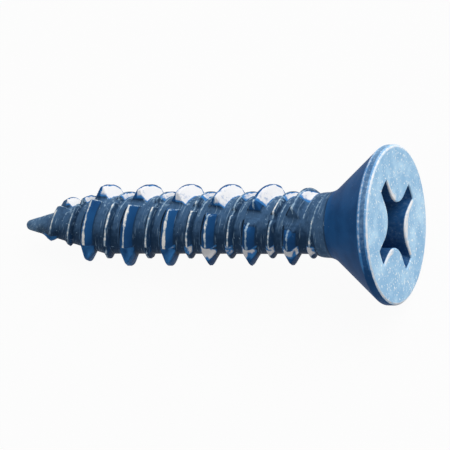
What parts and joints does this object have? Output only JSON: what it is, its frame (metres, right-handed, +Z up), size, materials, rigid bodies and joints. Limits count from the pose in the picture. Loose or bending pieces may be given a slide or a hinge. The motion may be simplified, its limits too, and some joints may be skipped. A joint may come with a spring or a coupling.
{
  "type": "concrete screw",
  "caption": "Countersunk concrete screw with a cross recess, a plain neck and a notched high-low thread that runs out on a blunt tapered point.",
  "frame": {"origin": "on the floor the screw lies on, under the centre of its footprint", "axes": "+Z up, +X along the lying screw towards its head, which is the higher end"},
  "size_m": [0.0324, 0.0126, 0.0127],
  "materials": {
    "blue_coating": "semi-gloss baked blue coating over steel, worn pale on the crests"
  },
  "bodies": {
    "root": {"concrete_screw": "blue_coating"}
  },
  "joints": []
}
